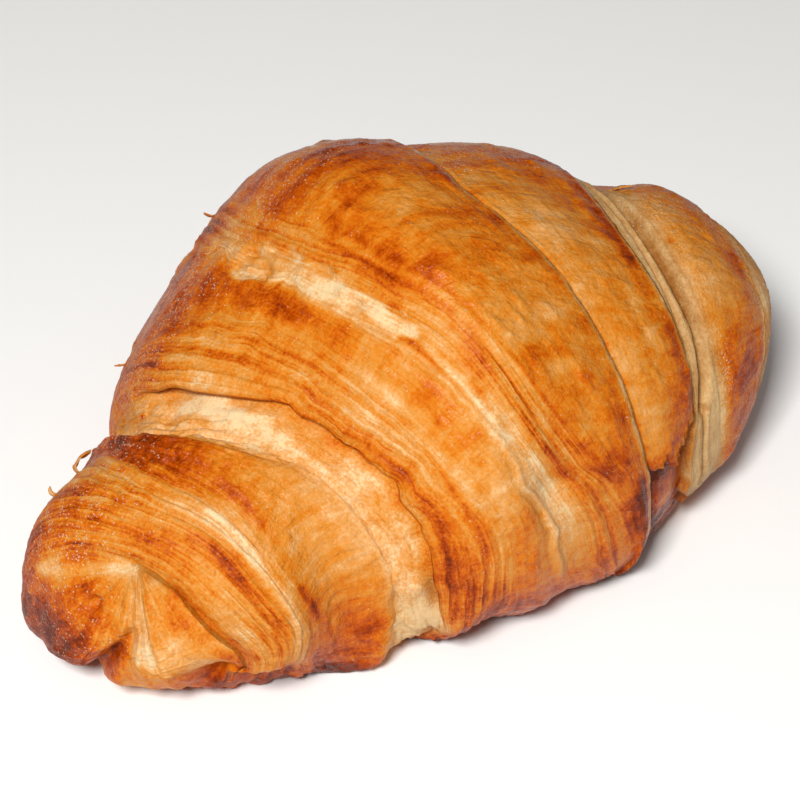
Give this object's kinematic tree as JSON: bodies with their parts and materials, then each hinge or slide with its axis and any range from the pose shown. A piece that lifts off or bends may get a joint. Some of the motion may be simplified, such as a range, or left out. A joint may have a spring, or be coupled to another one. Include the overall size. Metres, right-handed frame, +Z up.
{
  "type": "croissant",
  "caption": "Plump butter croissant of rolled laminated dough, with layered wraps, blunt horns and a flat baked underside.",
  "frame": {"origin": "middle of the bounding box at the flat underside, where the croissant rests", "axes": "+X along the roll towards the right horn, +Y towards the outer side of the bend, +Z up"},
  "size_m": [0.1336, 0.0868, 0.0677],
  "materials": {
    "crust": "baked croissant crust: egg-washed golden to orange brown, satin, with pale unwashed flaky edges"
  },
  "bodies": {
    "root": {"croissant": "crust"}
  },
  "joints": []
}
